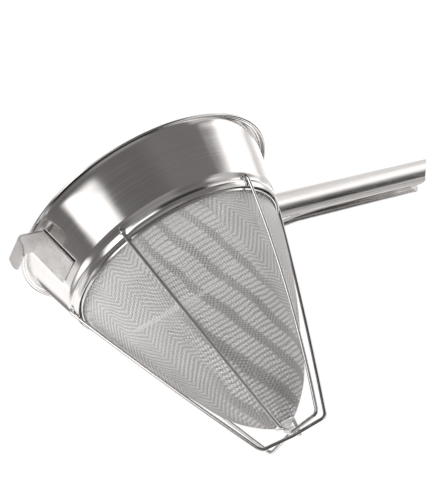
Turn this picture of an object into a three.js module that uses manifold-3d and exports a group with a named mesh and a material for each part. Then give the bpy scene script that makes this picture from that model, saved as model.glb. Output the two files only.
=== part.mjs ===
// Conical strainer with two nested wire-cloth cones, a sheet-steel collar, three
// guard wires, a channel handle and a pot hook. Everything is welded or crimped
// together, so nothing moves.
// Millimetres. +Z is up, the rim is at the top and the tip hangs down. +X runs
// along the handle and -X through the hook. The origin is the centre of the rim's
// top plane.
import * as THREE from "three";
import { mergeVertices } from "three/addons/utils/BufferGeometryUtils.js";
import Module from "manifold-3d";

const wasm = await Module();
wasm.setup();

// ---------------------------------------------------------------- driving sizes
const SEGMENTS = 48;            // facets round every turned piece
const GAP = 0.3;                // clearance between pieces that touch

const RIM_RADIUS = 107;         // outside of the rolled rim
const RIM_BEAD = 1.2;           // radius of the rolled rim
const SHEET = 0.75;             // collar sheet thickness
const COLLAR_TOP_RADIUS = 101.3; // outside of the collar, just under the flange
const COLLAR_TOP_Z = -2.7;
const COLLAR_LOW_RADIUS = 87.1; // outside of the collar at its lower edge
const COLLAR_LOW_Z = -54.7;
const GROOVE_TOP_Z = -42.4;     // hollow groove above the lower ring
const GROOVE_LOW_Z = -48.3;
const GROOVE_DEPTH = 1.5;
const RING_CROWN = 0.35;        // how far the lower ring swells past the collar's line

const MESH_TOP_RADIUS = 83.6;   // outer cone where it comes out of the hoop
const MESH_TOP_Z = -56.6;
const MESH_TIP_Z = -206.3;
const MESH_THICKNESS = 0.6;
const MESH_SPACING = 1.3;       // from one cone's outside to the next one's
const MESH_DEPTH_POWER = 1.2;   // shape of the bulging side
const MESH_ROUND_POWER = 0.69;  // bluntness of the tip
const MESH_TIP_SWELL = 0.14;    // how much fuller the lower part is than that curve

const CAP_THICKNESS = 0.6;
const CAP_START = 0.979;        // fraction of the cone's depth where the tip cap begins

const HOOP_THICKNESS = 0.8;
const HOOP_TOP_Z = -49.7;
const HOOP_LOW_Z = -56.2;

const WIRE_RADIUS = 1.25;
const WIRE_SIDES = 8;
const WIRE_BEND = 6;            // bend radius at the foot of each leg
const WIRE_CROSSING_BEND = 20;  // bend radius where the wires cross under the tip
const LEG_TOP_RADIUS = 88.5;    // wire centre beside the collar's lower edge
const LEG_END = { radius: 90.1, z: -46.4 }; // a leg's end, which lies in the groove
const LEG_SHOULDER = 5.5;       // from the collar's lower edge up to the bend into the groove
const LEG_SHOULDER_BEND = 4;
const LEG_BOW = 1.4;            // how far a leg bows outwards half-way down

const HANDLE_HALF_WIDTH = 8;
const HANDLE_MOUTH = 5.5;       // half the width across the open underside
const HANDLE_TOP_Z = -14.4;
const HANDLE_LOW_Z = -40.1;
const HANDLE_SHEET = 1;
const HANDLE_END_X = 301.5;
const HANDLE_WALL_DROP = 11.5;  // how far a side stays nearly upright below the back
const HANDLE_ROOT_LOW_Z = -48;  // lower edge of the sides at the collar
const HANDLE_ROOT_END_X = 150;  // where the sides reach their usual depth
const HANDLE_END_SLANT = 27;    // length of the slanting cut below the end
const HANDLE_END_CORNER = { back: 19, drop: 22 };  // where that cut starts to round into the lower edge
const HANG_HOLE_RADIUS = 3.5;
const HANG_HOLE_FROM_END = 10;

const HOOK_WIDTH = 24.4;
const HOOK_SHEET = 1.5;
const HOOK_TAB_LOW_Z = -38.5;
const HOOK_SHELF_Z = -6.5;
const HOOK_SHELF_END = 119.5;   // radius where the shelf turns down into the lip
const HOOK_LIP_END = { radius: 123, z: -21 };
const HOOK_CLIP = 4.5;          // width of each clipped corner of the lip

// -------------------------------------------------------------------- materials
const steel = (color, roughness) => new THREE.MeshStandardMaterial({ color, roughness, metalness: 1 });
const MIRROR_STEEL = steel(0xc9c7c4, 0.12);
const WIRE_STEEL = steel(0xb9b6b2, 0.2);
const HANDLE_STEEL = steel(0xc4c2bf, 0.18);
const HOOK_STEEL = steel(0xa9a7a4, 0.4);
const WIRE_CLOTH = steel(0x9d9996, 0.45);
const FINE_CLOTH = steel(0x8a8683, 0.5);

// ---------------------------------------------------------------------- helpers
const collarSlope = (COLLAR_TOP_RADIUS - COLLAR_LOW_RADIUS) / (COLLAR_TOP_Z - COLLAR_LOW_Z);
const collarRadius = (z) => COLLAR_LOW_RADIUS + collarSlope * (z - COLLAR_LOW_Z);
const radians = (degrees) => THREE.MathUtils.degToRad(degrees);

// A point on an arc, as [radius, z].
const arcPoint = (centre, radius, degrees) => [
  centre[0] + radius * Math.cos(radians(degrees)),
  centre[1] + radius * Math.sin(radians(degrees)),
];

// Turns a profile of [radius, z] pairs about the Z axis. The profile runs with the
// solid on its left.
function turned(profile, segments = SEGMENTS) {
  const points = profile.map(([r, z]) => new THREE.Vector2(r, z));
  return new THREE.LatheGeometry(points, segments).rotateX(Math.PI / 2);
}

// Extrudes a shape and centres it on the extrusion axis.
function extruded(shape, depth, curveSegments = 8) {
  const geometry = new THREE.ExtrudeGeometry(shape, { depth, bevelEnabled: false, curveSegments });
  return geometry.translate(0, 0, -depth / 2);
}

// Puts a shape drawn in (x, z) upright, with its extrusion along Y.
const uprightXZ = (geometry) => geometry.rotateX(Math.PI / 2);

// Puts a shape drawn in (y, z) upright, with its extrusion along X.
const uprightYZ = (geometry) => geometry.rotateX(Math.PI / 2).rotateZ(Math.PI / 2);

function polygon(points) {
  return new THREE.Shape(points.map(([x, y]) => new THREE.Vector2(x, y)));
}

function toSolid(geometry) {
  const bare = geometry.clone();
  bare.deleteAttribute("normal");
  bare.deleteAttribute("uv");
  const merged = mergeVertices(bare, 1e-4);
  const vertProperties = new Float32Array(merged.attributes.position.array);
  const triVerts = new Uint32Array(merged.index.array);
  return new wasm.Manifold(new wasm.Mesh({ numProp: 3, vertProperties, triVerts }));
}

function toGeometry(solid) {
  const { vertProperties, triVerts } = solid.getMesh();
  const geometry = new THREE.BufferGeometry();
  geometry.setAttribute("position", new THREE.BufferAttribute(vertProperties, 3));
  geometry.setIndex(new THREE.BufferAttribute(triVerts, 1));
  geometry.computeVertexNormals();
  return geometry;
}

function part(name, geometry, material) {
  const mesh = new THREE.Mesh(geometry, material);
  mesh.name = name;
  return mesh;
}

// ----------------------------------------------------------------------- collar
// One pressed sheet: flange with a rolled edge, tapered wall, groove, and a swollen
// ring at the lower edge. side is 0 on the outer face and 1 on the inner face.
function collarWall(side) {
  const inset = side * SHEET * 1.04;
  const grooveSteps = [0, 0.3, 0.7, 1];
  const ringSteps = [0.25, 0.5, 0.8, 1];
  const ringHeight = GROOVE_LOW_Z - COLLAR_LOW_Z;
  const groove = grooveSteps.map((t) => {
    const z = GROOVE_TOP_Z + t * (GROOVE_LOW_Z - GROOVE_TOP_Z);
    return [collarRadius(z) - GROOVE_DEPTH * Math.sin(Math.PI * t) - inset, z];
  });
  const ring = ringSteps.map((t) => {
    const z = GROOVE_LOW_Z - t * ringHeight;
    return [collarRadius(z) + RING_CROWN * Math.sin(Math.PI * t) - inset, z];
  });
  return [[COLLAR_TOP_RADIUS - inset, COLLAR_TOP_Z - side * SHEET], ...groove, ...ring];
}

function rimBand() {
  const bead = [RIM_RADIUS - RIM_BEAD, -RIM_BEAD];
  const curl = [-120, -75, -40, 0, 45, 90].map((angle) => arcPoint(bead, RIM_BEAD, angle));
  const underside = [[COLLAR_TOP_RADIUS + 0.5, -SHEET - 0.6], [COLLAR_TOP_RADIUS + 1.6, -SHEET]];
  const shoulder = [[COLLAR_TOP_RADIUS + 1, 0], [COLLAR_TOP_RADIUS - 0.4, -0.9]];
  const outside = collarWall(0).reverse();
  const inside = collarWall(1);
  const curlRoot = [bead[0] - RIM_BEAD, -SHEET];
  const profile = [...outside, ...underside, curlRoot, ...curl, ...shoulder, ...inside, outside[0]];
  return part("rim_band", turned(profile), MIRROR_STEEL);
}

// ----------------------------------------------------------- wire-cloth and hoop
// Above its top edge the cloth carries on straight, along the collar's slope.
const clothRise = (z) => MESH_TOP_RADIUS + collarSlope * (z - MESH_TOP_Z);

// The bulging side of a cone inset from the outer one, from top to tip, or from a
// given fraction of the depth.
function coneSide(inset, steps = 11, startDepth = 0) {
  const depth = MESH_TIP_Z + inset * 1.1 - MESH_TOP_Z;
  const side = [];
  for (let i = 0; i <= steps; i += 1) {
    const t = startDepth + (1 - startDepth) * (1 - (1 - i / steps) ** 1.5);
    const swell = 1 + MESH_TIP_SWELL * THREE.MathUtils.smoothstep(t, 0.6, 0.9);
    const radius = (MESH_TOP_RADIUS - inset) * (1 - t ** MESH_DEPTH_POWER) ** MESH_ROUND_POWER;
    side.push([radius * swell, MESH_TOP_Z + t * depth]);
  }
  return side;
}

// The outer cloth goes up inside the hoop, over it and down its outside.
function outerMeshCone() {
  const foldTop = HOOP_TOP_Z + GAP;
  const hemInside = 2 * GAP + HOOP_THICKNESS + 0.05;
  const hemOutside = hemInside + MESH_THICKNESS * 0.8;
  const hemLow = COLLAR_LOW_Z + 0.4;
  const profile = [
    ...coneSide(0).reverse(),
    [clothRise(foldTop), foldTop],
    [clothRise(foldTop) + hemInside, foldTop],
    [clothRise(hemLow) + hemInside, hemLow],
    [clothRise(hemLow) + hemOutside, hemLow],
    [clothRise(foldTop) + hemOutside, foldTop + 0.2],
    [clothRise(foldTop) + hemInside - 0.2, foldTop + MESH_THICKNESS],
    [clothRise(foldTop) - MESH_THICKNESS, foldTop + MESH_THICKNESS],
    ...coneSide(MESH_THICKNESS),
  ];
  return part("outer_mesh_cone", turned(profile), WIRE_CLOTH);
}

function innerMeshCone() {
  const innerEdge = MESH_SPACING + MESH_THICKNESS;
  const profile = [
    ...coneSide(MESH_SPACING).reverse(),
    [clothRise(HOOP_TOP_Z) - MESH_SPACING, HOOP_TOP_Z],
    [clothRise(HOOP_TOP_Z) - innerEdge, HOOP_TOP_Z],
    ...coneSide(innerEdge),
  ];
  return part("inner_mesh_cone", turned(profile), FINE_CLOTH);
}

function meshHoop() {
  const inside = GAP + 0.05;
  const outside = inside + HOOP_THICKNESS;
  const profile = [
    [clothRise(HOOP_LOW_Z) + inside, HOOP_LOW_Z],
    [clothRise(HOOP_LOW_Z) + outside, HOOP_LOW_Z],
    [clothRise(HOOP_TOP_Z) + outside, HOOP_TOP_Z],
    [clothRise(HOOP_TOP_Z) + inside, HOOP_TOP_Z],
    [clothRise(HOOP_LOW_Z) + inside, HOOP_LOW_Z],
  ];
  return part("mesh_hoop", turned(profile), MIRROR_STEEL);
}

// A small pressed cap that closes the tip of the cloth, under the crossed wires.
function tipCap() {
  const outerSide = coneSide(-GAP - CAP_THICKNESS, 6, CAP_START);
  const innerSide = coneSide(-GAP, 6, CAP_START);
  return part("tip_cap", turned([...outerSide.reverse(), ...innerSide], 24), HOOK_STEEL);
}

// ------------------------------------------------------------------ guard wires
// A route through given points. Each point takes one step of the extrusion, so a
// straight stretch costs one step and a bend gets as many as it has points.
class Route extends THREE.Curve {
  constructor(points) {
    super();
    this.points = points;
  }

  getUtoTmapping(u) {
    return u;
  }

  getPoint(t, target = new THREE.Vector3()) {
    const last = this.points.length - 1;
    const index = Math.min(Math.floor(t * last), last - 1);
    return target.lerpVectors(this.points[index], this.points[index + 1], t * last - index);
  }
}

const polar = (radius, degrees, z) =>
  new THREE.Vector3(radius * Math.cos(radians(degrees)), radius * Math.sin(radians(degrees)), z);

// Rounds a corner with a curve that starts and ends a setback away from it.
function roundedCorner(before, corner, after, bendRadius) {
  const into = before.clone().sub(corner).normalize();
  const out = after.clone().sub(corner).normalize();
  const setback = bendRadius / Math.tan(into.angleTo(out) / 2);
  const start = corner.clone().addScaledVector(into, setback);
  const end = corner.clone().addScaledVector(out, setback);
  return new THREE.QuadraticBezierCurve3(start, corner, end).getPoints(4);
}

// One leg, from its end in the collar's groove down to its bend: footRadius and
// footAngle place the bend, topAngle the upper end.
function legPoints({ footRadius, footAngle, footZ, topAngle, bow = LEG_BOW }) {
  const top = polar(LEG_TOP_RADIUS, topAngle, COLLAR_LOW_Z);
  const foot = polar(footRadius, footAngle, footZ);
  const upward = top.clone().sub(foot).normalize();
  const shoulder = top.clone().addScaledVector(upward, LEG_SHOULDER);
  const end = polar(LEG_END.radius, topAngle, LEG_END.z);
  const bowed = [0.25, 0.5, 0.75].map((t) => {
    const point = shoulder.clone().lerp(foot, t);
    const outward = new THREE.Vector3(point.x, point.y, 0).normalize();
    return point.addScaledVector(outward, bow * 4 * t * (1 - t));
  });
  const bend = roundedCorner(end, shoulder, bowed[0], LEG_SHOULDER_BEND);
  return { foot, run: [end, ...bend, ...bowed] };
}

function guardWire(name, firstLeg, secondLeg, crossingZ) {
  const crossing = new THREE.Vector3(0, 0, crossingZ);
  const first = legPoints(firstLeg);
  const second = legPoints(secondLeg);
  const points = [
    ...first.run,
    ...roundedCorner(first.run.at(-1), first.foot, crossing, WIRE_BEND),
    ...roundedCorner(first.foot, crossing, second.foot, WIRE_CROSSING_BEND),
    ...roundedCorner(crossing, second.foot, second.run.at(-1), WIRE_BEND),
    ...second.run.reverse(),
  ];
  const section = polygon(
    Array.from({ length: WIRE_SIDES }, (_, i) => arcPoint([0, 0], WIRE_RADIUS, (360 * i) / WIRE_SIDES)),
  );
  const geometry = new THREE.ExtrudeGeometry(section, {
    steps: points.length - 1,
    extrudePath: new Route(points),
  });
  return part(name, geometry, WIRE_STEEL);
}

// The wires were bent by hand, so their angles aren't even. Each one crosses the
// axis at its own level, one wire thickness below the last.
function guardWires() {
  return [
    guardWire(
      "guard_wire_upper",
      { footRadius: 26, footAngle: 222, footZ: -211, topAngle: 216.3 },
      { footRadius: 26, footAngle: 39, footZ: -210, topAngle: 37 },
      -208.9,
    ),
    guardWire(
      "guard_wire_middle",
      { footRadius: 27, footAngle: 289, footZ: -214, topAngle: 286.4, bow: 5.5 },
      { footRadius: 26, footAngle: 101, footZ: -212, topAngle: 104 },
      -211.65,
    ),
    guardWire(
      "guard_wire_lower",
      { footRadius: 26, footAngle: 163, footZ: -213.4, topAngle: 154 },
      { footRadius: 28.4, footAngle: 337.5, footZ: -213.4, topAngle: 338 },
      -214.4,
    ),
  ];
}

// ----------------------------------------------------------------------- handle
// An inverted channel with a round back, open along its underside. Its end is cut
// on a slant and its sides grow deeper towards the collar.
function handleSection() {
  const backZ = HANDLE_TOP_Z - HANDLE_HALF_WIDTH;
  const deepZ = HANDLE_ROOT_LOW_Z - 2;
  const lip = HANDLE_MOUTH;
  const wide = HANDLE_HALF_WIDTH;
  const bendLowZ = HANDLE_LOW_Z;
  const bendTopZ = backZ - HANDLE_WALL_DROP;
  const shape = new THREE.Shape();
  shape.moveTo(-lip, deepZ);
  shape.bezierCurveTo(-lip, bendLowZ, -wide, bendTopZ, -wide, backZ);
  shape.absarc(0, backZ, wide, Math.PI, 0, true);
  shape.bezierCurveTo(wide, bendTopZ, lip, bendLowZ, lip, deepZ);
  shape.lineTo(lip - HANDLE_SHEET, deepZ);
  shape.bezierCurveTo(
    lip - HANDLE_SHEET, bendLowZ, wide - HANDLE_SHEET, bendTopZ, wide - HANDLE_SHEET, backZ,
  );
  shape.absarc(0, backZ, wide - HANDLE_SHEET, 0, Math.PI, false);
  shape.bezierCurveTo(
    -wide + HANDLE_SHEET, bendTopZ, -lip + HANDLE_SHEET, bendLowZ, -lip + HANDLE_SHEET, deepZ,
  );
  shape.closePath();
  return shape;
}

// The handle's outline from the side, drawn from inside the collar to past its top.
function handleSide() {
  const insideX = COLLAR_LOW_RADIUS - 7;
  const aboveZ = HANDLE_TOP_Z + 9.4;
  const cutX = HANDLE_END_X - HANDLE_END_CORNER.back;
  const cutZ = HANDLE_TOP_Z - HANDLE_END_CORNER.drop;
  const side = new THREE.Shape();
  side.moveTo(insideX, aboveZ);
  side.lineTo(insideX, HANDLE_ROOT_LOW_Z);
  side.lineTo(COLLAR_LOW_RADIUS + 7, HANDLE_ROOT_LOW_Z + 0.5);
  side.quadraticCurveTo(115, HANDLE_LOW_Z - 1, HANDLE_ROOT_END_X, HANDLE_LOW_Z);
  side.lineTo(HANDLE_END_X - HANDLE_END_SLANT, HANDLE_LOW_Z);
  side.quadraticCurveTo(cutX - 2, HANDLE_LOW_Z + 0.4, cutX, cutZ);
  side.lineTo(HANDLE_END_X, HANDLE_TOP_Z);
  side.lineTo(HANDLE_END_X, aboveZ);
  side.closePath();
  return side;
}

function handle() {
  const channelLength = 240;
  const channelMiddle = 200;
  const channel = uprightYZ(extruded(handleSection(), channelLength)).translate(channelMiddle, 0, 0);
  const outline = uprightXZ(extruded(handleSide(), 8 * HANDLE_HALF_WIDTH));
  const [lowZ, highZ] = [COLLAR_LOW_Z - 5, -5];
  const clearance = turned([
    [0, lowZ],
    [collarRadius(lowZ) + GAP, lowZ],
    [collarRadius(highZ) + GAP, highZ],
    [0, highZ],
  ]);
  const hangHole = new THREE.CylinderGeometry(HANG_HOLE_RADIUS, HANG_HOLE_RADIUS, 12, 20);
  hangHole.rotateX(Math.PI / 2).translate(HANDLE_END_X - HANG_HOLE_FROM_END, 0, HANDLE_TOP_Z);
  const solid = toSolid(channel)
    .intersect(toSolid(outline))
    .subtract(toSolid(clearance))
    .subtract(toSolid(hangHole));
  return part("handle", toGeometry(solid), HANDLE_STEEL);
}

// --------------------------------------------------------------------- pot hook
// A bent strap: a tab welded to the collar, a shelf under the flange that sits on
// the pot's rim, and a lip that drops outside the pot.
function hookCentreLine() {
  const half = HOOK_SHEET / 2;
  const tabRadius = (z) => collarRadius(z) + GAP + half;
  const corners = [
    [tabRadius(HOOK_TAB_LOW_Z), HOOK_TAB_LOW_Z],
    [tabRadius(HOOK_SHELF_Z), HOOK_SHELF_Z],
    [HOOK_SHELF_END, HOOK_SHELF_Z],
    [HOOK_LIP_END.radius, HOOK_LIP_END.z],
  ].map(([r, z]) => new THREE.Vector3(r, 0, z));
  return [
    corners[0],
    ...roundedCorner(corners[0], corners[1], corners[2], 3.5),
    ...roundedCorner(corners[1], corners[2], corners[3], 3),
    corners[3],
  ];
}

function strapOutline(line, thickness) {
  const sides = [[], []];
  line.forEach((point, i) => {
    const before = line[Math.max(i - 1, 0)];
    const after = line[Math.min(i + 1, line.length - 1)];
    const along = after.clone().sub(before).normalize();
    const across = new THREE.Vector3(-along.z, 0, along.x).multiplyScalar(thickness / 2);
    sides[0].push([-(point.x + across.x), point.z + across.z]);
    sides[1].push([-(point.x - across.x), point.z - across.z]);
  });
  return polygon([...sides[0], ...sides[1].reverse()]);
}

function potHook() {
  const strap = uprightXZ(extruded(strapOutline(hookCentreLine(), HOOK_SHEET), HOOK_WIDTH));
  let solid = toSolid(strap);
  const half = HOOK_WIDTH / 2;
  const lowZ = HOOK_LIP_END.z - 2;
  [-1, 1].forEach((side) => {
    const corner = polygon([
      [side * (half - HOOK_CLIP), lowZ],
      [side * (half + 1), lowZ],
      [side * (half + 1), lowZ + 7],
    ]);
    const cut = uprightYZ(extruded(corner, 16)).translate(-HOOK_SHELF_END, 0, 0);
    solid = solid.subtract(toSolid(cut));
  });
  return part("pot_hook", toGeometry(solid), HOOK_STEEL);
}

// --------------------------------------------------------------------- assembly
const strainer = new THREE.Group();
strainer.name = "double_mesh_strainer";
strainer.add(rimBand(), meshHoop(), outerMeshCone(), innerMeshCone(), tipCap());
strainer.add(...guardWires(), handle(), potHook());

export default strainer;
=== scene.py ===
"""A conical strainer of two wire-cloth cones in a steel collar, with guard wires, a handle and a pot hook."""

import math

import bmesh
import bpy
import numpy as np
from mathutils import Matrix, Vector


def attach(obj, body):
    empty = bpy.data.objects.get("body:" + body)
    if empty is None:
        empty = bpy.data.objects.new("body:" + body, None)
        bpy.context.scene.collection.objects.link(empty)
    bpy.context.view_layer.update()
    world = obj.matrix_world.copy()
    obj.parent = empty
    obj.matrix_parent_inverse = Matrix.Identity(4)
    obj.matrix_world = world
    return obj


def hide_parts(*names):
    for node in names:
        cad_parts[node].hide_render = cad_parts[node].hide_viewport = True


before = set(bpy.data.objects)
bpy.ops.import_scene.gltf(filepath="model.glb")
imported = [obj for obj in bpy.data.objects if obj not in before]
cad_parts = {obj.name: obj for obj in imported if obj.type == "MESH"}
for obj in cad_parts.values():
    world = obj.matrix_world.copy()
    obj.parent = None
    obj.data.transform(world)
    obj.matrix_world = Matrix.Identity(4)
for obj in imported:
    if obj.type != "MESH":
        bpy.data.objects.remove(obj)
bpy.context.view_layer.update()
scene = bpy.context.scene

MM = 0.001

# ------------------------------------------------------------ sizes, in millimetres
SHEET = 0.75
RIM_RADIUS = 107.0
RIM_BEAD = 1.2
COLLAR_TOP = (101.3, -2.7)
COLLAR_LOW = (87.1, -54.7)
FLARE_START_Z = -12.0
GROOVE = (-42.4, -49.3)
GROOVE_DEPTH = 1.5
GROOVE_DEEPEST = 0.84
RING_CROWN = 0.45
MESH_TOP = (83.6, -56.6)
MESH_TIP_Z = -206.3
MESH_SPACING = 1.3
DEPTH_POWER = 1.2
ROUND_POWER = 0.69
TIP_SWELL = 0.14
WARP_AZIMUTH = 235
CONE_SPREAD = 0.42  # the part of a turn that the cloth takes when it is laid flat
HOOP = (-49.7, -56.2)
WIRE_RADIUS = 1.25
HANDLE_TOP_Z = -14.4
HANDLE_LOW_Z = -40.1
HANDLE_HALF = 8.0
HANDLE_MOUTH = 5.0
HANDLE_END_X = 301.5
HANDLE_ROOT_X = 92.0
HANDLE_SHEET = 1.0
LIP_FROM_X, LIP_TO_X = 97, 195
HOOK_WIDTH = 24.4
HOOK_SHEET = 1.5
HOOK_STAND_OFF = 1.05
HOOK_TAB_LOW_Z = -38.5
HOOK_SHELF_Z = -6.5
HOOK_SHELF_END_X = 121.6
HOOK_LIP_END = (122.9, -21)

SLOPE = (COLLAR_TOP[0] - COLLAR_LOW[0]) / (COLLAR_TOP[1] - COLLAR_LOW[1])


def collar_radius(z):
    return COLLAR_LOW[0] + SLOPE * (z - COLLAR_LOW[1])


def cloth_rise(z):
    return MESH_TOP[0] + SLOPE * (z - MESH_TOP[1])


# ------------------------------------------------------------------- mesh helpers
def place_mesh(name, mesh, material, nodes, modifiers=()):
    """A smooth piece from a mesh, riding on the body and standing for the given CAD nodes."""
    mesh.polygons.foreach_set("use_smooth", [True] * len(mesh.polygons))
    mesh.materials.append(material)
    piece = bpy.data.objects.new(name, mesh)
    scene.collection.objects.link(piece)
    for kind, settings in modifiers:
        modifier = piece.modifiers.new(kind.lower(), kind)
        for key, value in settings.items():
            setattr(modifier, key, value)
    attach(piece, "root")
    if nodes:
        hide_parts(*nodes)


def make_piece(name, verts, faces, material, slot, *nodes, modifiers=()):
    """A piece from points in millimetres, with points that coincide made one."""
    mesh = bpy.data.meshes.new(name)
    mesh.from_pydata((np.asarray(verts, float) * MM).tolist(), [], faces)
    work = bmesh.new()
    work.from_mesh(mesh)
    bmesh.ops.remove_doubles(work, verts=work.verts, dist=1e-7)
    bmesh.ops.recalc_face_normals(work, faces=work.faces)
    work.to_mesh(mesh)
    work.free()
    place_mesh(name, mesh, material, nodes, modifiers)


def grid_faces(rows, columns, close_rows=False, close_columns=False):
    """Four-sided faces over a grid of points. A closed direction joins its last points to its first."""
    faces = []
    for i in range(rows if close_rows else rows - 1):
        for j in range(columns if close_columns else columns - 1):
            a, b = i * columns, (i + 1) % rows * columns
            k = (j + 1) % columns
            faces.append((a + j, a + k, b + k, b + j))
    return faces


def rounded(points, radius, steps=5, hold=0.25):
    """A closed polyline with its corners rounded, and a holding point on both sides of each bend."""
    points = [np.asarray(p, float) for p in points]
    out = []
    for i, p in enumerate(points):
        into, away = points[i - 1] - p, points[(i + 1) % len(points)] - p
        reach_in, reach_out = np.linalg.norm(into), np.linalg.norm(away)
        into, away = into / reach_in, away / reach_out
        half = math.acos(max(-1, min(1, float(into @ away)))) / 2
        setback = min(radius / math.tan(half), reach_in * 0.42, reach_out * 0.42)
        start, end = p + into * setback, p + away * setback
        out.append(start + into * min(hold * radius, reach_in * 0.05))
        for t in np.linspace(0, 1, steps + 1):
            out.append(start * (1 - t) ** 2 + p * 2 * t * (1 - t) + end * t * t)
        out.append(end + away * min(hold * radius, reach_out * 0.05))
    return np.array(out)


def bezier(points, count):
    """count points along the curve that three or four points steer."""
    t = np.linspace(0, 1, count)[:, None]
    p = [np.asarray(q, float) for q in points]
    if len(p) == 3:
        return p[0] * (1 - t) ** 2 + 2 * p[1] * t * (1 - t) + p[2] * t * t
    return p[0] * (1 - t) ** 3 + 3 * p[1] * t * (1 - t) ** 2 + 3 * p[2] * t * t * (1 - t) + p[3] * t**3


def spin(profile, segments):
    """Turns a closed profile of (radius, z) about the Z axis."""
    angles = np.linspace(0, 2 * math.pi, segments, endpoint=False)
    r, z = np.asarray(profile)[:, 0], np.asarray(profile)[:, 1]
    verts = np.stack(
        [
            r[:, None] * np.cos(angles),
            r[:, None] * np.sin(angles),
            np.repeat(z[:, None], segments, 1),
        ],
        -1,
    ).reshape(-1, 3)
    return verts, grid_faces(len(r), segments, True, True)


# --------------------------------------------------------------- material helpers
class Tree:
    """Builds a node tree with one call for each node."""

    def __init__(self, tree):
        self.tree = tree
        tree.nodes.clear()

    def add(self, kind, inputs=None, **settings):
        made = self.tree.nodes.new(kind)
        for key, value in settings.items():
            setattr(made, key, value)
        for key, value in (inputs or {}).items():
            socket = made.inputs[key]
            if isinstance(value, bpy.types.NodeSocket):
                self.tree.links.new(value, socket)
            elif isinstance(value, bpy.types.Node):
                self.tree.links.new(value.outputs[0], socket)
            else:
                socket.default_value = value
        return made

    def math(self, operation, *values):
        made = self.add("ShaderNodeMath", operation=operation)
        for socket, value in zip(made.inputs, values):
            if isinstance(value, (int, float)):
                socket.default_value = value
            else:
                self.tree.links.new(value, socket)
        return made.outputs[0]

    def step(self, value, low, high, smooth=True):
        """0 below low and 1 above high, with a smooth rise between them."""
        made = self.add(
            "ShaderNodeMapRange",
            {"Value": value, "From Min": low, "From Max": high},
            interpolation_type="SMOOTHSTEP" if smooth else "LINEAR",
        )
        return made.outputs[0]

    def between(self, value, low, high):
        """value, from 0 to 1, spread over low to high."""
        made = self.add("ShaderNodeMapRange", {"Value": value, "To Min": low, "To Max": high})
        return made.outputs[0]

    def noise(self, vector, scale, detail=2.0, roughness=0.5):
        made = self.add(
            "ShaderNodeTexNoise",
            {"Vector": vector, "Scale": scale, "Detail": detail, "Roughness": roughness},
        )
        return made.outputs["Fac"]

    def stretched(self, vector, scale):
        made = self.add("ShaderNodeMapping", {"Vector": vector, "Scale": scale})
        return made.outputs[0]

    def ramp(self, value, *stops):
        made = self.add("ShaderNodeValToRGB", {"Fac": value})
        band = made.color_ramp
        while len(band.elements) < len(stops):
            band.elements.new(0.5)
        for element, (place, colour) in zip(band.elements, stops):
            element.position = place
            element.color = (*colour, 1)
        return made.outputs[0]


def new_material(name):
    material = bpy.data.materials.new(name)
    material.use_nodes = True
    return material, Tree(material.node_tree)


def object_point(tree):
    return tree.add("ShaderNodeTexCoord").outputs["Object"]


def turned_point(tree):
    """(distance from the axis, z) as a vector, so that a texture runs in rings round the axis."""
    x, y, z = tree.add("ShaderNodeSeparateXYZ", {0: object_point(tree)}).outputs
    squares = tree.math("ADD", tree.math("MULTIPLY", x, x), tree.math("MULTIPLY", y, y))
    radius = tree.math("SQRT", squares)
    return tree.add("ShaderNodeCombineXYZ", {"X": radius, "Z": z}).outputs[0]


def steel(
    name, dark, light, low, high, grain, grain_scale, relief_strength,
    waviness=0.0, metallic=1.0, cloud_scale=14.0,
):
    """Bare steel. dark and light are the ends of its colour, low and high of its roughness. grain is 'rings'
    or how the brushing is stretched along x, y and z. waviness is the height in metres of its slow
    unevenness."""
    material, tree = new_material(name)
    place = object_point(tree)
    if grain == "rings":
        brushed = tree.noise(turned_point(tree), grain_scale, 3.0, 0.7)
    else:
        brushed = tree.noise(tree.stretched(place, grain), grain_scale, 3.0, 0.7)
    cloud = tree.noise(place, cloud_scale, 3.0, 0.55)
    both = tree.math("ADD", tree.math("MULTIPLY", brushed, 0.5), tree.math("MULTIPLY", cloud, 0.5))
    spread = tree.step(both, 0.35, 0.65, smooth=False)
    relief = tree.add(
        "ShaderNodeBump", {"Height": brushed, "Strength": relief_strength, "Distance": BRUSH_DEPTH}
    )
    if waviness:
        slow = tree.noise(place, 24.0, 1.0)
        relief = tree.add(
            "ShaderNodeBump", {"Height": slow, "Strength": 1.0, "Distance": waviness, "Normal": relief}
        )
    shader = tree.add(
        "ShaderNodeBsdfPrincipled",
        {
            "Base Color": tree.ramp(spread, (0.0, dark), (1.0, light)),
            "Roughness": tree.between(spread, low, high),
            "Normal": relief,
            "Metallic": metallic,
        },
    )
    tree.add("ShaderNodeOutputMaterial", {"Surface": shader})
    return material


def wave_of(tree, value, period):
    return tree.math("COSINE", tree.math("MULTIPLY", value, 2 * math.pi / period))


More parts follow.
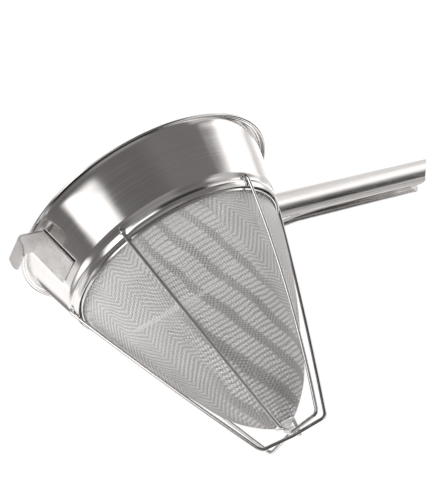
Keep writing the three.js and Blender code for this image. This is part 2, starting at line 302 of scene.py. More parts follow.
def ladder(tree, x, y, contrast):
    """The interference of two layers of cloth as painted light and shade, a factor about 1, drawn where the
    photo shows it: rungs across the cloth in slanting columns, which give way to finer zigzags away from
    its middle, and a painted highlight along one pinched crease. x and y are places on the flat cloth in
    millimetres, y from the tip."""
    place = object_point(tree)
    slanted = tree.math("MULTIPLY_ADD", y, COLUMN_SLANT, x)
    wander = tree.between(tree.noise(place, 30.0, 2.0), -COLUMN_WANDER, COLUMN_WANDER)
    slanted = tree.math("ADD", slanted, wander)
    column = tree.math("MULTIPLY", tree.math("ADD", slanted, COLUMN_START), math.pi / COLUMN_WIDTH)
    column = tree.math("COSINE", column)
    inside = tree.step(tree.math("ABSOLUTE", column), *COLUMN_EDGE)
    signed = tree.math("MULTIPLY", tree.math("SIGN", column), inside)
    middle_line = tree.math("MULTIPLY_ADD", y, MIDDLE_LEAN, MIDDLE_X)
    from_middle = tree.math("SUBTRACT", x, middle_line)
    away = tree.math("MAXIMUM", *(tree.step(from_middle, *edge) for edge in MIDDLE_EDGES))
    drift = tree.between(tree.noise(place, 60.0, 2.0), -RUNG_DRIFT, RUNG_DRIFT)
    height = tree.math("ADD", y, drift)
    rungs = wave_of(tree, height, RUNG_PITCH)
    zigzag = tree.math("MULTIPLY", tree.math("PINGPONG", slanted, ZIGZAG_WIDTH), ZIGZAG_SLOPE)
    lines = wave_of(tree, tree.math("ADD", height, zigzag), ZIGZAG_PITCH)
    strength = tree.between(tree.noise(place, 18.0, 2.0), 0.2, 1.8)
    bars = tree.math("MULTIPLY", tree.math("MULTIPLY", rungs, signed), BAR_STRENGTH)
    lift = tree.math("MULTIPLY_ADD", inside, COLUMN_LIFT, GAP_LEVEL)
    dots = tree.math("MULTIPLY", wave_of(tree, slanted, DOT_PITCH), wave_of(tree, height, DOT_PITCH))
    dots = tree.math("MULTIPLY", dots, tree.math("MULTIPLY_ADD", inside, -DOT_STRENGTH, DOT_STRENGTH))
    middle = tree.math("ADD", tree.math("MULTIPLY", tree.math("ADD", bars, lift), strength), dots)
    middle = tree.math("MULTIPLY", tree.math("SUBTRACT", 1.0, away), middle)
    sides = tree.math("MULTIPLY", away, SIDE_STRENGTH)
    sides = tree.math("MULTIPLY", tree.math("MULTIPLY", lines, strength), sides)
    beat = tree.math("MULTIPLY_ADD", tree.math("ADD", middle, sides), contrast, 1.0)
    # Painted highlight along the pinched crease, added to the colour.
    off = tree.math("MULTIPLY_ADD", x, CREASE_SLOPE, tree.math("SUBTRACT", y, CREASE_Y))
    crease_highlight = tree.math("MULTIPLY", tree.math("MULTIPLY", off, off), CREASE_SHARPNESS)
    crease_highlight = tree.math("MAXIMUM", tree.math("SUBTRACT", 1.0, crease_highlight), 0.0)
    along = tree.math("MULTIPLY", *(tree.step(x, *end) for end in CREASE_ENDS))
    crease_highlight = tree.math("MULTIPLY", crease_highlight, tree.math("MULTIPLY", along, CREASE_HIGHLIGHT))
    paler = tree.between(tree.step(y, *PALER_FROM_TO), *PALER_FACTORS)
    return tree.math("MINIMUM", tree.math("MULTIPLY", tree.math("ADD", beat, crease_highlight), paler), BRIGHTEST)


def cloth(name, pitch, diameter, colour, roughness, contrast=0.0):
    """Plain-woven wire cloth. Its UV map holds the flat cloth in centimetres. pitch is across the warp and
    across the weft, and diameter is the wire's, in millimetres. contrast is that of the interference, which
    is painted light and shade in the colour."""
    material, tree = new_material(name)
    flat = tree.add("ShaderNodeUVMap", uv_map="weave").outputs[0]
    split = tree.add("ShaderNodeSeparateXYZ", {0: flat})
    u = tree.math("MULTIPLY", split.outputs[0], 10 / pitch[0])
    v = tree.math("MULTIPLY", split.outputs[1], 10 / pitch[1])
    half_u, half_v = diameter / 2 / pitch[0], diameter / 2 / pitch[1]

    def across(value, half):
        nearest = tree.math("ROUND", value)
        return tree.math("DIVIDE", tree.math("SUBTRACT", value, nearest), half)

    def crown(value):
        inside = tree.math("SUBTRACT", 1.0, tree.math("MULTIPLY", value, value))
        return tree.math("SQRT", tree.math("MAXIMUM", inside, 0.0))

    def side(value):
        return tree.math("SIGN", tree.math("COSINE", tree.math("MULTIPLY", value, math.pi)))

    def wave(value, kind):
        return tree.math(kind, tree.math("MULTIPLY", value, math.pi))

    a, b = across(u, half_u), across(v, half_v)
    warp = tree.math("LESS_THAN", tree.math("ABSOLUTE", a), 1.0)
    weft = tree.math("LESS_THAN", tree.math("ABSOLUTE", b), 1.0)
    side_u, side_v = side(u), side(v)
    warp_height = tree.math("ADD", crown(a), tree.math("MULTIPLY", wave(v, "COSINE"), side_u))
    weft_height = tree.math("SUBTRACT", crown(b), tree.math("MULTIPLY", wave(u, "COSINE"), side_v))
    higher = tree.math("GREATER_THAN", warp_height, weft_height)
    warp_shows = tree.math("MULTIPLY", warp, tree.math("MAXIMUM", higher, tree.math("SUBTRACT", 1.0, weft)))
    slope_v = tree.math("MULTIPLY", tree.math("MULTIPLY", wave(v, "SINE"), side_u), UNDULATION)
    slope_u = tree.math("MULTIPLY", tree.math("MULTIPLY", wave(u, "SINE"), side_v), -UNDULATION)

    def chosen(if_warp, if_weft):
        difference = tree.math("SUBTRACT", if_warp, if_weft)
        mixed = tree.math("MULTIPLY_ADD", difference, warp_shows, if_weft)
        return tree.math("MULTIPLY", mixed, 0.9)

    tilt_u, tilt_v = chosen(a, slope_u), chosen(slope_v, b)
    squares = tree.math("ADD", tree.math("MULTIPLY", tilt_u, tilt_u), tree.math("MULTIPLY", tilt_v, tilt_v))
    upright = tree.math("SQRT", tree.math("MAXIMUM", tree.math("SUBTRACT", 1.0, squares), 0.02))
    packed = [tree.math("MULTIPLY_ADD", value, 0.5, 0.5) for value in (tilt_u, tilt_v, upright)]
    as_colour = tree.add("ShaderNodeCombineColor", dict(zip(("Red", "Green", "Blue"), packed)))
    relief = tree.add("ShaderNodeNormalMap", {"Color": as_colour, "Strength": 1.0}, uv_map="weave")
    cloud = tree.noise(object_point(tree), 60.0, 3.0)
    tint = tree.ramp(cloud, (0.3, colour[0]), (0.7, colour[1]))
    # Painted light and shade: the interference of the two layers scales the colour.
    if contrast:
        x, y = (tree.math("MULTIPLY", split.outputs[i], 10.0) for i in (0, 1))
        beat = ladder(tree, x, y, contrast)
        tint = tree.add("ShaderNodeVectorMath", {0: tint, "Scale": beat}, operation="SCALE").outputs[0]
    shader = tree.add(
        "ShaderNodeBsdfPrincipled",
        {
            "Base Color": tint,
            "Roughness": tree.between(cloud, *roughness),
            "Normal": relief,
            "Metallic": CLOTH_METALLIC,
            "Alpha": tree.math("MAXIMUM", warp, weft),
        },
    )
    tree.add("ShaderNodeOutputMaterial", {"Surface": shader})
    return material


BRUSH_DEPTH = 0.0002  # metres
MIRROR = steel(
    "mirror_steel", (0.70, 0.69, 0.68), (0.80, 0.79, 0.78), 0.10, 0.17, "rings", 900.0, 0.03, 0.0009
)
WIRE = steel("wire_steel", (0.56, 0.55, 0.54), (0.76, 0.75, 0.74), 0.08, 0.16, (1, 1, 1), 500.0, 0.05)
HANDLE = steel(
    "handle_steel", (0.68, 0.67, 0.66), (0.80, 0.79, 0.78), 0.10, 0.18, (0.04, 1, 1), 1400.0, 0.05
)
HOOK = steel(
    "hook_steel", (0.52, 0.51, 0.50), (0.88, 0.87, 0.86), 0.34, 0.48, (1, 1, 0.3), 900.0, 0.2,
    0.0004, 0.93, 60.0,
)
CAP = steel(
    "cap_steel", (0.74, 0.74, 0.73), (0.88, 0.88, 0.87), 0.3, 0.45, (1, 1, 1), 400.0, 0.1,
    0.0003, 0.78, 90.0,
)

# The interference pattern, painted light and shade in the cloth's colour: lengths in millimetres on the
# flat cloth, strengths as parts of its contrast.
COLUMN_SLANT = 0.27
COLUMN_WIDTH = 15.5
COLUMN_START = -21.2
COLUMN_WANDER = 4.0
COLUMN_EDGE = (0.33, 0.75)
COLUMN_LIFT = 0.8
GAP_LEVEL = -0.45
MIDDLE_X = 19.0
MIDDLE_LEAN = -0.05
MIDDLE_EDGES = ((14.0, 24.0), (-24.0, -40.0))
RUNG_PITCH = 3.6
RUNG_DRIFT = 2.2
BAR_STRENGTH = 0.75
DOT_PITCH = 2.3
DOT_STRENGTH = 0.45
SIDE_STRENGTH = 0.36
ZIGZAG_WIDTH = 14.0
ZIGZAG_SLOPE = 0.9
ZIGZAG_PITCH = 3.5
# Painted highlight along the crease: its line, sharpness, ends and brightness.
CREASE_Y = 117.5
CREASE_SLOPE = 0.06
CREASE_SHARPNESS = 0.3
CREASE_ENDS = ((-56, -44), (16, 6))
CREASE_HIGHLIGHT = 0.4
PALER_FROM_TO = (50.0, 165.0)
PALER_FACTORS = (0.85, 1.10)
BRIGHTEST = 1.25

UNDULATION = 0.4
CLOTH_METALLIC = 0.9
OUTER_CLOTH = cloth(
    "outer_wire_cloth", (1.5, 1.5), 0.86, ((0.80, 0.79, 0.78), (0.88, 0.87, 0.86)), (0.24, 0.36),
    contrast=0.66,
)
INNER_CLOTH = cloth(
    "inner_wire_cloth", (1.06, 1.06), 0.56, ((0.62, 0.61, 0.60), (0.72, 0.71, 0.70)), (0.28, 0.4)
)


# ------------------------------------------------------------------------- collar
def groove_depth(z):
    """The hollow above the lower ring: a long slope down and a short step back out on to the ring."""
    t = (GROOVE[0] - z) / (GROOVE[0] - GROOVE[1])
    if not 0 < t < 1:
        return 0.0
    if t < GROOVE_DEEPEST:
        return GROOVE_DEPTH * 0.5 * (1 - math.cos(math.pi * t / GROOVE_DEEPEST))
    return GROOVE_DEPTH * 0.5 * (1 + math.cos(math.pi * (t - GROOVE_DEEPEST) / (1 - GROOVE_DEEPEST)))


def collar_profile():
    """The collar's section: outer face upwards, under the flange, round the rolled edge, over the top and
    down the inside."""
    inset = SHEET * math.sqrt(1 + SLOPE * SLOPE)
    low, high = COLLAR_LOW[1], FLARE_START_Z
    outer = []
    ring = np.linspace(low + 0.35, GROOVE[1] - 0.1, 16)
    levels = [*ring, *np.linspace(*GROOVE[::-1], 24), GROOVE[0] + 0.15]
    for z in [*levels, -41, -38, -34, -27, -20, -14, high - 0.6]:
        swell = RING_CROWN * math.sin(math.pi * min((z - low) / (GROOVE[1] - low), 1))
        outer.append((collar_radius(z) + max(swell, 0) - groove_depth(z), z))
    inner = [(r - inset, z) for r, z in outer]
    top = COLLAR_TOP[0]
    under = [(collar_radius(high), high), (collar_radius(-7.5), -7.5), (top + 0.2, -2.0), (102.9, -SHEET)]
    under = bezier(under, 24)
    bead = (RIM_RADIUS - RIM_BEAD, -RIM_BEAD)
    curl = [
        (bead[0] + RIM_BEAD * math.cos(a), bead[1] + RIM_BEAD * math.sin(a))
        for a in np.radians(np.linspace(-185, 90, 27))
    ]
    over = [(104.6, 0), (103.4, 0)]
    over += [*bezier([(103.0, 0), (101.2, 0), (100.9, -3.6), (collar_radius(high) - inset, high)], 20)]
    middle = (inner[0][0] + outer[0][0]) / 2
    hem = [
        (middle + 0.38 * math.cos(a), low + 0.36 + 0.36 * math.sin(a))
        for a in np.linspace(-math.pi + 0.1, -0.1, 9)
    ]
    return np.array([*outer, *under, (104.3, -SHEET), *curl, *over, *inner[::-1], *hem])


verts, faces = spin(collar_profile(), 240)
make_piece("collar", verts, faces, MIRROR, "collar_steel", "rim_band")


def hoop_profile():
    inside, thick = 0.35, 0.8
    corners = [
        (cloth_rise(HOOP[1]) + inside, HOOP[1]),
        (cloth_rise(HOOP[1]) + inside + thick, HOOP[1]),
        (cloth_rise(HOOP[0]) + inside + thick, HOOP[0]),
        (cloth_rise(HOOP[0]) + inside, HOOP[0]),
    ]
    return rounded(corners, 0.3)


verts, faces = spin(hoop_profile(), 192)
make_piece("hoop", verts, faces, MIRROR, "collar_steel", "mesh_hoop")


# --------------------------------------------------------------------- wire cloth
def cone_side(inset, count, start=0.0):
    """Points down the bulging side of a cone, from the top edge to the tip."""
    t = start + (1 - start) * (1 - (1 - np.linspace(0, 1, count)) ** 1.5)
    fuller = np.clip((t - 0.6) / 0.3, 0, 1)
    fuller = 1 + TIP_SWELL * fuller * fuller * (3 - 2 * fuller)
    r = (MESH_TOP[0] - inset) * np.maximum(1 - t**DEPTH_POWER, 0) ** ROUND_POWER * fuller
    return np.stack([r, MESH_TOP[1] + t * (MESH_TIP_Z + inset * 1.1 - MESH_TOP[1])], 1)


def hump(x, centre, width):
    return np.exp(-(((x - centre) / width) ** 2))


def cloth_shape(a, z, r):
    """How far the hand-formed cloth strays from a true cone: soft waves and one pinched crease."""
    turn = np.degrees(a) % 360
    fade = np.clip(r / 40, 0, 1) * np.clip((-58 - z) / 20, 0, 1)
    waves = 0.28 * np.sin(np.radians(turn * 5 + z * 1.3)) + 0.18 * np.sin(np.radians(turn * 9 - z * 2.1))
    line = -103 - (turn - 182) * 0.12
    along = np.clip((turn - 176) / 12, 0, 1) * np.clip((246 - turn) / 12, 0, 1)
    crease = 0.45 * hump(z, line, 1.6) * along - 0.3 * hump(z, line - 4, 3.5) * along
    tuck = 1.0 * hump(z, -56.5, 5.0)
    return fade * (waves - 0.35) + crease - tuck


def cloth_cone(name, material, node, inset, above):
    """One cone of cloth. above holds the profile past the top edge. Its UV map is the cloth laid flat, with
    the warp upright at WARP_AZIMUTH and the seam opposite."""
    segments = 256
    profile = np.concatenate([np.asarray(above, float)[::-1], cone_side(inset, 110)[:-1]])
    profile = np.vstack([profile, [0.15, MESH_TIP_Z + inset * 1.1]])
    angles = math.radians(WARP_AZIMUTH) + np.linspace(-math.pi, math.pi, segments + 1)
    r = np.repeat(profile[:, :1], segments + 1, 1)
    z = np.repeat(profile[:, 1:], segments + 1, 1)
    a = np.repeat(angles[None], len(profile), 0)
    r = r + cloth_shape(a, z, r)
    verts = np.stack([r * np.cos(a), r * np.sin(a), z], -1).reshape(-1, 3)
    mesh = bpy.data.meshes.new(name)
    mesh.from_pydata((verts * MM).tolist(), [], grid_faces(len(profile), segments + 1))
    steps = np.linalg.norm(np.diff(profile[::-1], axis=0), axis=1)
    slant = np.concatenate([[0], np.cumsum(steps)])[::-1]
    spread = (angles - math.radians(WARP_AZIMUTH)) * CONE_SPREAD
    flat = np.stack([slant[:, None] * np.sin(spread), slant[:, None] * np.cos(spread)], -1) / 10
    flat = flat.reshape(-1, 2)
    layer = mesh.uv_layers.new(name="weave")
    corners = np.zeros(len(mesh.loops), int)
    mesh.loops.foreach_get("vertex_index", corners)
    layer.data.foreach_set("uv", flat[corners].ravel())
    place_mesh(name, mesh, material, [node])


FOLD_TOP = HOOP[0] + 0.3
HEM_LOW = COLLAR_LOW[1] + 0.4
outer_fold = [
    (cloth_rise(-53) - 0.05, -53),
    (cloth_rise(FOLD_TOP), FOLD_TOP),
    (cloth_rise(FOLD_TOP) + 0.3, FOLD_TOP + 0.45),
    (cloth_rise(FOLD_TOP) + 1.2, FOLD_TOP + 0.5),
    (cloth_rise(FOLD_TOP) + 1.6, FOLD_TOP + 0.1),
    (cloth_rise(HEM_LOW) + 1.6, HEM_LOW),
]
cloth_cone("outer_cloth", OUTER_CLOTH, "outer_mesh_cone", 0.1, outer_fold)
inner_rise = [(cloth_rise(-53) - MESH_SPACING, -53), (cloth_rise(HOOP[0]) - MESH_SPACING, HOOP[0])]
cloth_cone("inner_cloth", INNER_CLOTH, "inner_mesh_cone", MESH_SPACING, inner_rise)


# ------------------------------------------------------------------------ tip cap
def cap_profile():
    outside = cone_side(-0.9, 12, 0.979)
    inside = cone_side(-0.35, 12, 0.979)
    outside[-1, 0] = inside[-1, 0] = 0.05
    rim = [(outside[0] + inside[0]) / 2 + (0, 0.25)]
    return np.array([*outside[::-1], *rim, *inside])


verts, faces = spin(cap_profile(), 48)
turn = np.arctan2(verts[:, 1], verts[:, 0])
verts[:, :2] *= (1 + 0.03 * np.sin(3 * turn) + 0.02 * np.sin(5 * turn + 1))[:, None]
make_piece("tip_cap_shell", verts, faces, CAP, "cap_steel", "tip_cap")


# -------------------------------------------------------------------- guard wires
def polar(radius, degrees, z):
    a = math.radians(degrees)
    return np.array([radius * math.cos(a), radius * math.sin(a), z])


def corner(before, point, after, radius, steps=12):
    """The bend at point, between its tangent points."""
    into, away = before - point, after - point
    into, away = into / np.linalg.norm(into), away / np.linalg.norm(away)
    setback = radius / math.tan(math.acos(float(into @ away)) / 2)
    start, end = point + into * setback, point + away * setback
    t = np.linspace(0, 1, steps + 1)[:, None]
    return start * (1 - t) ** 2 + point * 2 * t * (1 - t) + end * t * t


def leg(radius, angle, z, top_angle, bow=1.4):
    """A wire's bend at its foot, and its run from the collar down towards it, bowed outwards."""
    top = polar(88.5, top_angle, COLLAR_LOW[1])
    foot = polar(radius, angle, z)
    upward = (top - foot) / np.linalg.norm(top - foot)
    shoulder = top + upward * 5.5
    end = polar(90.1, top_angle, -46.4)
    bowed = []
    for t in np.linspace(0.05, 0.9, 18):
        point = shoulder * (1 - t) + foot * t
        outward = np.array([point[0], point[1], 0]) / np.hypot(point[0], point[1])
        bowed.append(point + outward * bow * 4 * t * (1 - t))
    return foot, [end, *corner(end, shoulder, bowed[1], 4), *bowed[1:]]


def tube(path, radius, sides=16):
    """A round bar along a path, with domed ends. radius is one number or one for each point."""
    path = np.asarray(path, float)
    tangents = np.gradient(path, axis=0)
    tangents /= np.linalg.norm(tangents, axis=1)[:, None]
    radii = np.broadcast_to(radius, len(path))
    across = np.cross(tangents[0], (0.3, 0.5, 0.8))
    rings = []
    turns = np.linspace(0, 2 * math.pi, sides, endpoint=False)
    for i, (point, tangent) in enumerate(zip(path, tangents)):
        across = across - tangent * (across @ tangent)
        across /= np.linalg.norm(across)
        up = np.cross(tangent, across)
        ends = [(0, 1)]
        if i == 0:
            ends = [(-math.cos(d), math.sin(d)) for d in (0.1, 0.5, 1.0, 1.57)]
        if i == len(path) - 1:
            ends = [(math.cos(d), math.sin(d)) for d in (1.57, 1.0, 0.5, 0.1)]
        for shift, scale in ends:
            centre = point + tangent * shift * radii[i] * 0.6
            circle = np.cos(turns)[:, None] * across + np.sin(turns)[:, None] * up
            rings.append(centre + radii[i] * scale * circle)
    verts = np.concatenate(rings)
    faces = grid_faces(len(rings), sides, False, True)
    faces.append(tuple(range(sides)))
    faces.append(tuple(len(verts) - 1 - i for i in range(sides)))
    return verts, faces


def guard_wire(name, node, first, second, crossing_z):
    crossing = np.array([0, 0, crossing_z])
    foot_one, run_one = leg(*first)
    foot_two, run_two = leg(*second)
    path = [
        *run_one,
        *corner(run_one[-1], foot_one, crossing, 6),
        *corner(foot_one, crossing, foot_two, 20),
        *corner(crossing, foot_two, run_two[-1], 6),
        *run_two[::-1],
    ]
    verts, faces = tube(path, WIRE_RADIUS)
    make_piece(name, verts, faces, WIRE, "wire_steel", node)


# For each wire, its two legs (foot's radius, azimuth and height, top's azimuth and, where it isn't the usual
# one, the bow) and the height at which it crosses the axis.
WIRES = {
    "upper": ((26, 222, -211, 216.3), (26, 39, -210, 37), -208.9),
    "middle": ((27, 289, -214, 286.4, 5.5), (26, 101, -212, 104), -211.65),
    "lower": ((26, 163, -213.4, 154), (28.4, 337.5, -213.4, 338), -214.3),
}
for level, (one, two, z) in WIRES.items():
    guard_wire("wire_" + level, "guard_wire_" + level, one, two, z)


def blob(centre, size, axes=None, seed=0.0, rings=14, sides=20, lump=0.08):
    """An uneven drop of weld metal, size along its three axes."""
    polar_angles = np.linspace(0.04, math.pi - 0.04, rings)
    turns = np.linspace(0, 2 * math.pi, sides, endpoint=False)
    p, t = np.meshgrid(polar_angles, turns, indexing="ij")
    unit = np.stack([np.sin(p) * np.cos(t), np.sin(p) * np.sin(t), np.cos(p)], -1)
    rough = 1 + lump * np.sin(3 * t + seed) * np.sin(2 * p) + lump * 0.6 * np.sin(5 * t - 2 * seed + 3 * p)
    verts = unit * rough[..., None] * np.asarray(size, float)
    frame_axes = np.eye(3) if axes is None else np.asarray(axes, float)
    verts = verts.reshape(-1, 3) @ frame_axes + np.asarray(centre, float)
    faces = grid_faces(rings, sides, False, True)
    faces.append(tuple(range(sides)))
    faces.append(tuple(len(verts) - 1 - i for i in range(sides)))
    return verts, faces


def joined(parts):
    verts, faces, offset = [], [], 0
    for part_verts, part_faces in parts:
        verts.append(part_verts)
        faces += [tuple(i + offset for i in face) for face in part_faces]
        offset += len(part_verts)
    return np.concatenate(verts), faces


FOOT_WELD = (2.3, 2.6, 1.0)
welds = []
for index, legs in enumerate(WIRES.values()):
    for number, (_, _, _, top_angle, *_) in enumerate(legs[:2]):
        a = math.radians(top_angle)
        outward = np.array([math.cos(a), math.sin(a), 0])
        around = np.array([-math.sin(a), math.cos(a), 0])
        upward = np.array([SLOPE * math.cos(a), SLOPE * math.sin(a), 1]) / math.hypot(1, SLOPE)
        normal = np.cross(around, upward)
        spot = polar(88.9, top_angle, -49.2)
        welds.append(blob(spot, FOOT_WELD, (around, upward, normal), index * 2.1 + number))
verts, faces = joined(welds)
make_piece("wire_welds", verts, faces, WIRE, "wire_steel")

tip_welds = [
    blob((0.4, -0.3, -208.2), (4.4, 4.1, 1.9), seed=0.7, lump=0.05),
    blob((0.2, 0.2, -210.4), (2.5, 2.7, 2.0), seed=2.2, lump=0.05),
    blob((-0.1, 0.1, -212.9), (1.9, 2.1, 1.4), seed=4.0, lump=0.05),
]
verts, faces = joined(tip_welds)
make_piece("tip_welds", verts, faces, CAP, "cap_steel")


# ------------------------------------------------------------------------- handle
BACK_Z = HANDLE_TOP_Z - HANDLE_HALF

# How far the wall leans in, in degrees, at each depth below the rim.
WALL_LEAN = [
    (22.4, 0), (25, 1), (27, 2.4), (29, 4), (31, 6), (33, 7.7),
    (35, 9.3), (36, 12), (37, 17), (38, 24), (39, 32), (40.1, 41),
]


def wall_section():
    """One wall from the back down: nearly upright at first, then turned in towards its lower edge."""
    z = np.linspace(BACK_Z, HANDLE_LOW_Z, 120)
    lean = np.interp(-z, *zip(*WALL_LEAN))
    steps = np.tan(np.radians((lean[1:] + lean[:-1]) / 2)) * -np.diff(z)
    return np.stack([HANDLE_HALF - np.concatenate([[0], np.cumsum(steps)]), z], 1)


wall_line = wall_section()
low_line = np.vstack([[(80, -48), (94, -47.5)], bezier([(94, -47.5), (115, -41), (150, HANDLE_LOW_Z)], 20)])
end_curve = [
    (HANDLE_END_X - 27, HANDLE_LOW_Z),
    (HANDLE_END_X - 21, HANDLE_LOW_Z + 0.4),
    (HANDLE_END_X - 19, -36.4),
]
end_curve = bezier(end_curve, 16)
end_line = np.vstack([end_curve, [(HANDLE_END_X, HANDLE_TOP_Z)]])


def wall_half_width(z):
    """Half the width across the walls. Below their usual lower edge it stays as it is there."""
    return np.interp(-z, -wall_line[:, 1], wall_line[:, 0])


def wall_low(x):
    """Where the walls end downwards: they drop as they near the collar."""
    return np.interp(x, low_line[:, 0], low_line[:, 1])


def handle_grid():
    """The channel's surface, as rows along X from the collar to the slanted end. Its faces point into the
    channel, so the sheet's thickness lies outside it."""
    back = np.linspace(-math.pi / 2, math.pi / 2, 33)
    wall = np.linspace(0, 1, 26)[1:] ** 0.85
    ahead = [0, 0.004, 0.012, *np.linspace(0.03, 0.925, 60), *np.linspace(0.93, 0.975, 19), 0.99, 0.997, 1.0]
    rows = []
    for u in ahead:
        nominal = HANDLE_ROOT_X + u * (HANDLE_END_X - HANDLE_ROOT_X)
        near = [(-wall_half_width(z), z) for z in BACK_Z + (wall_low(nominal) - BACK_Z) * wall[::-1]]
        arc = [(HANDLE_HALF * math.sin(a), BACK_Z + HANDLE_HALF * math.cos(a)) for a in back]
        far = [(-y, z) for y, z in near[::-1]]
        section = np.array([*near, *arc, *far])
        y, z = section[:, 0], section[:, 1]
        root = np.sqrt(np.maximum((collar_radius(z) + 0.3) ** 2 - y * y, 0))
        tail = np.interp(z, end_line[:, 1], end_line[:, 0])
        rows.append(np.stack([root + u * (tail - root), y, z], 1))
    grid = np.array(rows)
    return grid.reshape(-1, 3), grid_faces(len(grid), grid.shape[1])


verts, faces = handle_grid()
make_piece(
    "handle_channel", verts, faces, HANDLE, "handle_steel", "handle",
    modifiers=[("SOLIDIFY", {"thickness": HANDLE_SHEET * MM, "offset": -1.0, "use_even_offset": True})],
)

x = np.linspace(LIP_FROM_X, LIP_TO_X, 50)
edge_line = np.stack([x, np.full_like(x, 0.35 - HANDLE_MOUTH), wall_low(x) + 0.4], 1)
verts, faces = tube(edge_line, np.interp(x, [150, LIP_TO_X], [0.85, 0.45]), 12)
make_piece("handle_lip", verts, faces, HANDLE, "handle_steel")


# ----------------------------------------------------------------------- pot hook
def hook_grid():
    """The strap's middle surface, from the tab on the collar, along the shelf and down the lip."""
    line = [np.array([collar_radius(z) + HOOK_STAND_OFF, 0, z]) for z in (HOOK_TAB_LOW_Z, HOOK_SHELF_Z)]
    line += [np.array([HOOK_SHELF_END_X, 0, HOOK_SHELF_Z]), np.array([HOOK_LIP_END[0], 0, HOOK_LIP_END[1]])]
    run = [
        *np.linspace(line[0], line[1], 14)[:-2],
        *corner(line[0], line[1], line[2], 4.5, 8),
        *corner(line[1], line[2], line[3], 4.0, 10),
        *np.linspace(line[2], line[3], 12)[4:],
    ]
    across = np.linspace(-1, 1, 33)
    rows = []
    for point in run:
        half = HOOK_WIDTH / 2
        depth = -12 - point[2]
        if point[0] > 120 and depth > 0:
            half -= 4.0 * (depth / 9) ** 2.5
        y = across * half
        x = np.full_like(y, point[0])
        if point[0] < 108:
            x = np.full_like(y, collar_radius(point[2]) + HOOK_STAND_OFF)
        rows.append(np.stack([-x, y, np.full_like(y, point[2])], 1))
    grid = np.array(rows)
    return grid.reshape(-1, 3), grid_faces(len(grid), grid.shape[1])


verts, faces = hook_grid()
make_piece(
    "hook_strap", verts, faces, HOOK, "hook_steel", "pot_hook",
    modifiers=[
        ("SOLIDIFY", {"thickness": HOOK_SHEET * MM, "offset": 0.0, "use_even_offset": True}),
        ("BEVEL", {"width": 0.3 * MM, "segments": 3, "limit_method": "ANGLE", "angle_limit": 0.8}),
    ],
)

# --------------------------------------------------------------- camera and light
EYE = Vector((-0.56916, -0.70104, -0.46))
FORWARD = Vector((0.60426, 0.68459, 0.40767))
IMAGE_UP = Vector((0.19392, -0.62262, 0.75812))
LENS = 98.44
SENSOR_WIDTH = 36.0
FLOOR_Z = -1.7
FLOOR_HALF = 12
camera_data = bpy.data.cameras.new("camera")
camera_data.lens = LENS
camera_data.sensor_width = SENSOR_WIDTH
camera = bpy.data.objects.new("camera", camera_data)
scene.collection.objects.link(camera)
back = -FORWARD.normalized()
right = IMAGE_UP.cross(back).normalized()
up = back.cross(right)
camera.matrix_world = Matrix.Translation(EYE) @ Matrix((right, up, back)).transposed().to_4x4()
camera_data.clip_end = 50
scene.camera = camera

floor_material, tree = new_material("pale_floor")
mottle = tree.noise(object_point(tree), 3.0, 2.0)
shader = tree.add(
    "ShaderNodeBsdfPrincipled",
    {
        "Base Color": tree.ramp(mottle, (0.2, (0.86, 0.86, 0.86)), (0.8, (0.88, 0.88, 0.88))),
        "Roughness": 0.9,
        "Specular IOR Level": 0.1,
    },
)
tree.add("ShaderNodeOutputMaterial", {"Surface": shader})
floor_mesh = bpy.data.meshes.new("floor")
floor_corners = [(x * FLOOR_HALF, y * FLOOR_HALF, FLOOR_Z) for x, y in ((-1, -1), (1, -1), (1, 1), (-1, 1))]
floor_mesh.from_pydata(floor_corners, [], [(0, 1, 2, 3)])
floor_mesh.materials.append(floor_material)
floor = bpy.data.objects.new("floor", floor_mesh)
scene.collection.objects.link(floor)
floor.visible_glossy = False
floor.visible_diffuse = False

# Soft panels round the object: azimuth, half-width, lowest and highest elevation, softness of the sides and
# of the top and bottom, in degrees, and brightness. A negative one darkens the room there.
PANELS = [
    (192.5, 15, -3.5, 38, 5.5, 2.0, 1.9),
    (212, 26, 6, 24, 5, 1.5, 1.3),
    (111, 42, -50, -14, 5, 4, 1.3),
    (238, 26, -48, -20, 10, 6, 0.15),
    (328, 24, -62, -28, 8, 4, 1.05),
    (342, 17, -8, 19, 7, 6, 1.3),
    (320, 8, -2, 4.8, 6, 1.4, 0.5),
    (324, 6, 3, 8, 5, 2, 0.5),
    (316, 20, 16.2, 21.8, 6, 2.4, 1.4),
    (318, 20, 22.5, 36, 6, 2.2, 0.72),
    (352, 27, 36, 64, 6, 3, 0.72),
    (38, 26, 20, 52, 8, 5, 0.9),
    (317, 14, -30, -5, 6, 3, 0.42),
    (99, 16, -6, 28, 6, 4, 1.05),
    (129, 15, -6, 26, 5, 4, 0.75),
    (118, 34, 32, 58, 8, 6, 0.45),
    (18, 16, -4, 34, 8, 6, 0.65),
    (48, 14, -38, -12, 6, 6, 1.6),
    (315, 12, 7.5, 13, 5, 2, -0.17),
    (210, 46, -14, 4, 14, 4, -0.055),
    (66, 14, -14, 8, 6, 3, -0.17),
    (10, 22, -32, -9, 6, 3, -0.18),
    (255, 42, 14, 66, 10, 6, -0.16),
]
BASE_LEVEL = 0.205
DARKEST = 0.02
ROOM = (1.0, 0.95, 0.935, 1)
PANEL = (1.0, 0.985, 0.98, 1)
AMBIENT = 0.28
KEY_POWER = 52
KEY_DISTANCE = 1.5
KEY_SIZE = 0.18
OVERHEAD_POWER = 2.0


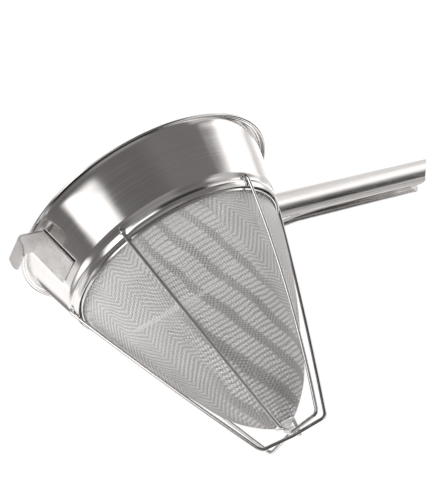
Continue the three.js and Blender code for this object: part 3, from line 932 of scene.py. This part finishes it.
def build_world():
    """The studio: the room and its panels for reflections, an even level for diffuse light, plain white
    behind the object."""
    world = bpy.data.worlds.new("studio")
    world.use_nodes = True
    scene.world = world
    tree = Tree(world.node_tree)
    direction = tree.add("ShaderNodeTexCoord").outputs["Generated"]
    x, y, z = tree.add("ShaderNodeSeparateXYZ", {0: direction}).outputs
    azimuth = tree.math("ARCTAN2", y, x)
    elevation = tree.math("MULTIPLY", tree.math("ARCSINE", z), 180 / math.pi)
    base = tree.math("MULTIPLY", tree.between(tree.step(elevation, -64, -24), 0.12, 1.0), BASE_LEVEL)
    lit = tree.math("MULTIPLY", tree.step(elevation, 60, 72), 1.6)
    for centre, half, low, high, soft, feather, level in PANELS:
        turn = tree.math("COSINE", tree.math("SUBTRACT", azimuth, math.radians(centre)))
        outer = math.cos(math.radians(half + soft))
        inner = math.cos(math.radians(max(half - soft, 0)))
        part = tree.step(turn, outer, inner)
        part = tree.math("MULTIPLY", part, tree.step(elevation, low - feather, low + feather))
        part = tree.math("MULTIPLY", part, tree.step(elevation, high + feather, high - feather))
        if level < 0:
            base = tree.math("MULTIPLY_ADD", part, level, base)
        else:
            lit = tree.math("MULTIPLY_ADD", part, level, lit)
    base = tree.math("MAXIMUM", base, DARKEST)
    path = tree.add("ShaderNodeLightPath").outputs
    room = tree.add("ShaderNodeBackground", {"Strength": base, "Color": ROOM})
    panels = tree.add("ShaderNodeBackground", {"Strength": lit, "Color": PANEL})
    glow = tree.add("ShaderNodeAddShader", {0: room, 1: panels})
    even = tree.add("ShaderNodeBackground", {"Strength": AMBIENT, "Color": (1, 1, 1, 1)})
    plain = tree.add("ShaderNodeBackground", {"Strength": 1.0, "Color": (1, 1, 1, 1)})
    mixed = tree.add("ShaderNodeMixShader", {"Fac": path["Is Diffuse Ray"], 1: glow, 2: even})
    mixed = tree.add("ShaderNodeMixShader", {"Fac": path["Is Camera Ray"], 1: mixed, 2: plain})
    tree.add("ShaderNodeOutputWorld", {"Surface": mixed})


def soft_light(name, kind, place, aim, size, power):
    """A light that doesn't show in reflections. size is a sun's angle in radians or an area's side."""
    data = bpy.data.lights.new(name, kind)
    if kind == "SUN":
        data.angle = size
    else:
        data.size = size
    data.energy = power
    lamp = bpy.data.objects.new(name, data)
    lamp.location = place
    lamp.visible_glossy = False
    lamp.rotation_mode = "QUATERNION"
    lamp.rotation_quaternion = (Vector(aim) - Vector(place)).to_track_quat("-Z", "Y")
    scene.collection.objects.link(lamp)


build_world()
CENTRE = Vector((0.03, -0.02, -0.06))
key_place = CENTRE - FORWARD * KEY_DISTANCE + up * 0.16 - right * 0.17
soft_light("key", "AREA", key_place, CENTRE, KEY_SIZE, KEY_POWER)
soft_light("overhead", "SUN", (0, 0, 2), (0, 0, 0), 0.5, OVERHEAD_POWER)
scene.view_settings.view_transform = "Standard"
